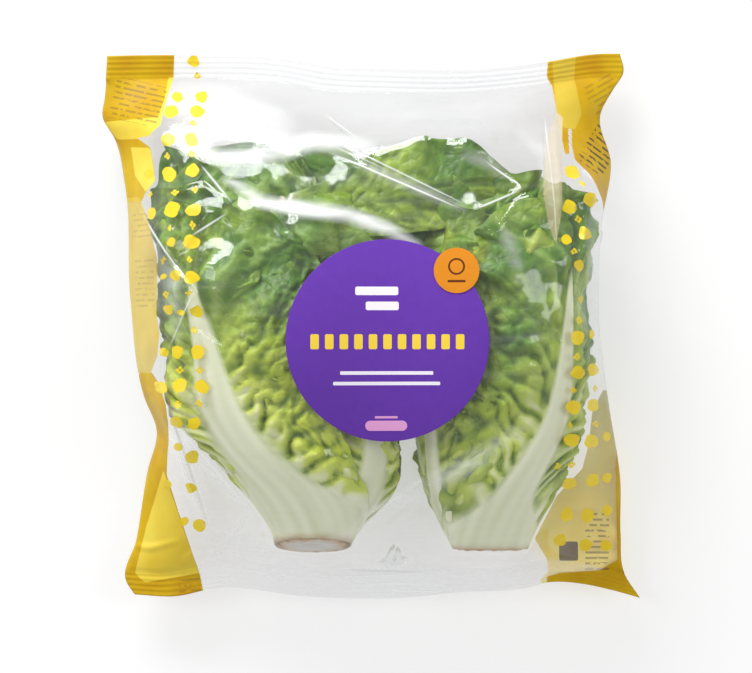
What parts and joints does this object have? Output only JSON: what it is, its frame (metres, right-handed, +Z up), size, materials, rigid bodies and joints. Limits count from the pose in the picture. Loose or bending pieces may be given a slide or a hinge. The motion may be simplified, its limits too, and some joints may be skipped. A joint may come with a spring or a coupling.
{
  "type": "bag of lettuce hearts",
  "caption": "Clear heat-sealed film bag lying flat with whole lettuce hearts inside, yellow printed side folds, and a round purple label with a small orange sticker.",
  "frame": {"origin": "middle of the bag in plan, on the surface that it lies on", "axes": "+X to the bag's right, +Y from the hearts' cut ends to their leaf tips, +Z up out of the shown face"},
  "size_m": [0.2256, 0.2292, 0.0695],
  "materials": {
    "film": "glossy clear film over green leaves",
    "label_paper": "semi-gloss coated paper",
    "sticker_paper": "semi-gloss coated paper"
  },
  "bodies": {
    "root": {"bag": "film", "round_label": "label_paper", "small_sticker": "sticker_paper"}
  },
  "joints": []
}
